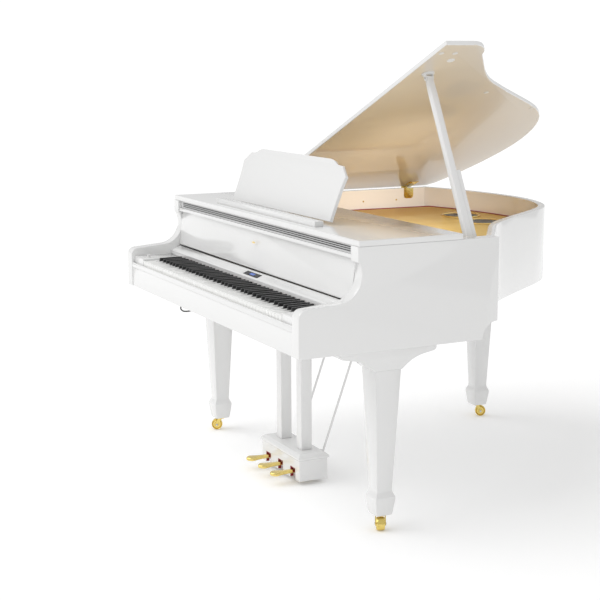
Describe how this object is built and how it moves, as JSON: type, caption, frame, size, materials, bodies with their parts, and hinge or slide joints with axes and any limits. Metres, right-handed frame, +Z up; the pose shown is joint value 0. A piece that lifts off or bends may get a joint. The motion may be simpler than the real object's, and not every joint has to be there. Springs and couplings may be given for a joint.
{
  "type": "digital grand piano",
  "caption": "Small digital grand piano: white case with a raised lid on a prop, fallboard, keyboard, music desk, tapered legs on brass casters and a pedal lyre.",
  "frame": {"origin": "on the floor under the middle of the bounding box", "axes": "+X to the treble side, +Y from the keyboard to the tail, +Z up"},
  "size_m": [1.512, 1.47, 1.5291],
  "materials": {
    "lacquer": "white polished lacquer over board",
    "soundboard": "gold lacquer",
    "speaker": "satin",
    "white_plastic": "gloss",
    "display": "gloss, with a blue lit field",
    "white_key": "satin ivory white",
    "black_key": "satin black",
    "brass": "polished",
    "wire": "black"
  },
  "bodies": {
    "case": {"left_side_panel": "lacquer", "right_side_panel": "lacquer", "bent_rim": "lacquer", "key_bed": "lacquer", "tail_board": "lacquer", "front_board": "lacquer", "front_deck": "lacquer", "belly_rail": "lacquer", "soundboard": "soundboard", "speaker_left": "speaker", "speaker_right": "speaker", "key_slip": "lacquer", "cheek_block_left": "lacquer", "cheek_block_right": "lacquer", "control_panel": "lacquer", "display_window": "display", "louvre": "speaker", "upper_rail": "lacquer", "desk_ledge": "lacquer", "lid_hinge_front_lower": "brass", "lid_hinge_rear_lower": "brass", "prop_foot_plate": "brass", "leg_front_left": "lacquer", "leg_front_right": "lacquer", "leg_rear": "lacquer", "leg_bracket_front_left": "lacquer", "leg_bracket_front_right": "lacquer", "leg_bracket_rear": "lacquer", "lyre_box": "lacquer", "lyre_post_left": "lacquer", "lyre_post_right": "lacquer", "lyre_stay_left": "lacquer", "lyre_stay_right": "lacquer", "headphone_hook": "wire"},
    "lid": {"main_lid": "lacquer", "lid_hinge_front_upper": "brass", "lid_hinge_rear_upper": "brass", "prop_cup": "white_plastic"},
    "prop": {"prop_long": "lacquer"},
    "short_prop": {"prop_short": "lacquer"},
    "fallboard": {"fallboard": "lacquer"},
    "music_desk": {"music_desk": "lacquer"},
    "pedal_soft": {"pedal_soft": "brass"},
    "pedal_sostenuto": {"pedal_sostenuto": "brass"},
    "pedal_damper": {"pedal_damper": "brass"},
    "volume_knob": {"volume_knob": "white_plastic"},
    "naturals_bass": {"naturals_bass": "white_key"},
    "natural_c": {"natural_c": "white_key"},
    "natural_d": {"natural_d": "white_key"},
    "naturals_treble": {"naturals_treble": "white_key"},
    "sharps_bass": {"sharps_bass": "black_key"},
    "sharp_c": {"sharp_c": "black_key"},
    "sharp_d": {"sharp_d": "black_key"},
    "sharps_treble": {"sharps_treble": "black_key"},
    "caster_fork_front_left": {"caster_fork_front_left": "brass"},
    "caster_wheel_front_left": {"caster_wheel_front_left": "brass"},
    "caster_fork_front_right": {"caster_fork_front_right": "brass"},
    "caster_wheel_front_right": {"caster_wheel_front_right": "brass"},
    "caster_fork_rear": {"caster_fork_rear": "brass"},
    "caster_wheel_rear": {"caster_wheel_rear": "brass"}
  },
  "joints": [
    {"name": "lid_hinge", "type": "hinge", "parent": "case", "child": "lid", "pos_m": [-0.752, 0, 0.932], "axis": [0, -1, 0], "range_deg": [-22.8, 0]},
    {"name": "prop_fold", "type": "hinge", "parent": "lid", "child": "prop", "pos_m": [0.43294, -0.103, 1.4109], "axis": [0, -1, 0], "range_deg": [-94, 0]},
    {"name": "short_prop_fold", "type": "hinge", "parent": "prop", "child": "short_prop", "pos_m": [0.6868, -0.0837, 0.90836], "axis": [0, -1, 0], "range_deg": [0, 60]},
    {"name": "fallboard_hinge", "type": "hinge", "parent": "case", "child": "fallboard", "pos_m": [0, -0.529, 0.7605], "axis": [1, 0, 0], "range_deg": [0, 90]},
    {"name": "music_desk_fold", "type": "hinge", "parent": "case", "child": "music_desk", "pos_m": [0, -0.438, 0.957], "axis": [1, 0, 0], "range_deg": [-68, 0]},
    {"name": "volume_turn", "type": "hinge", "parent": "case", "child": "volume_knob", "pos_m": [-0.659, -0.683, 0.7263], "axis": [0, 0, 1], "range_deg": [-150, 150]},
    {"name": "pedal_soft_press", "type": "hinge", "parent": "case", "child": "pedal_soft", "pos_m": [-0.101, -0.357, 0.042], "axis": [1, 0, 0], "range_deg": [0, 6], "stiffness_Nm_per_rad": 12, "springref_deg": -2.86},
    {"name": "pedal_sostenuto_press", "type": "hinge", "parent": "case", "child": "pedal_sostenuto", "pos_m": [0, -0.357, 0.042], "axis": [1, 0, 0], "range_deg": [0, 6], "stiffness_Nm_per_rad": 12, "springref_deg": -2.86},
    {"name": "pedal_damper_press", "type": "hinge", "parent": "case", "child": "pedal_damper", "pos_m": [0.101, -0.357, 0.042], "axis": [1, 0, 0], "range_deg": [0, 6], "stiffness_Nm_per_rad": 12, "springref_deg": -2.86},
    {"name": "naturals_bass_press", "type": "hinge", "parent": "case", "child": "naturals_bass", "pos_m": [0, -0.385, 0.7], "axis": [1, 0, 0], "range_deg": [0, 1.6], "stiffness_Nm_per_rad": 220, "springref_deg": -2.86},
    {"name": "natural_c_press", "type": "hinge", "parent": "case", "child": "natural_c", "pos_m": [0, -0.385, 0.7], "axis": [1, 0, 0], "range_deg": [0, 1.6], "stiffness_Nm_per_rad": 10, "springref_deg": -2.86},
    {"name": "natural_d_press", "type": "hinge", "parent": "case", "child": "natural_d", "pos_m": [0, -0.385, 0.7], "axis": [1, 0, 0], "range_deg": [0, 1.6], "stiffness_Nm_per_rad": 10, "springref_deg": -2.86},
    {"name": "naturals_treble_press", "type": "hinge", "parent": "case", "child": "naturals_treble", "pos_m": [0, -0.385, 0.7], "axis": [1, 0, 0], "range_deg": [0, 1.6], "stiffness_Nm_per_rad": 260, "springref_deg": -2.86},
    {"name": "sharps_bass_press", "type": "hinge", "parent": "case", "child": "sharps_bass", "pos_m": [0, -0.385, 0.7], "axis": [1, 0, 0], "range_deg": [0, 1.6], "stiffness_Nm_per_rad": 140, "springref_deg": -2.86},
    {"name": "sharp_c_press", "type": "hinge", "parent": "case", "child": "sharp_c", "pos_m": [0, -0.385, 0.7], "axis": [1, 0, 0], "range_deg": [0, 1.6], "stiffness_Nm_per_rad": 8, "springref_deg": -2.86},
    {"name": "sharp_d_press", "type": "hinge", "parent": "case", "child": "sharp_d", "pos_m": [0, -0.385, 0.7], "axis": [1, 0, 0], "range_deg": [0, 1.6], "stiffness_Nm_per_rad": 8, "springref_deg": -2.86},
    {"name": "sharps_treble_press", "type": "hinge", "parent": "case", "child": "sharps_treble", "pos_m": [0, -0.385, 0.7], "axis": [1, 0, 0], "range_deg": [0, 1.6], "stiffness_Nm_per_rad": 170, "springref_deg": -2.86},
    {"name": "caster_swivel_front_left", "type": "hinge", "parent": "case", "child": "caster_fork_front_left", "pos_m": [-0.652, -0.397, 0.048], "axis": [0, 0, 1], "continuous": true},
    {"name": "caster_spin_front_left", "type": "hinge", "parent": "caster_fork_front_left", "child": "caster_wheel_front_left", "pos_m": [-0.65814, -0.40958, 0.022], "axis": [0.8988, -0.4384, 0], "continuous": true},
    {"name": "caster_swivel_front_right", "type": "hinge", "parent": "case", "child": "caster_fork_front_right", "pos_m": [0.652, -0.397, 0.048], "axis": [0, 0, 1], "continuous": true},
    {"name": "caster_spin_front_right", "type": "hinge", "parent": "caster_fork_front_right", "child": "caster_wheel_front_right", "pos_m": [0.66458, -0.40314, 0.022], "axis": [0.4384, 0.8988, 0], "continuous": true},
    {"name": "caster_swivel_rear", "type": "hinge", "parent": "case", "child": "caster_fork_rear", "pos_m": [-0.35683, 0.64118, 0.048], "axis": [0, 0, 1], "continuous": true},
    {"name": "caster_spin_rear", "type": "hinge", "parent": "caster_fork_rear", "child": "caster_wheel_rear", "pos_m": [-0.35069, 0.65376, 0.022], "axis": [-0.8988, 0.4384, 0], "continuous": true}
  ],
  "couplings": [
    {"joint": "prop_fold", "follows": "lid_hinge", "ratio": 4.12}
  ]
}
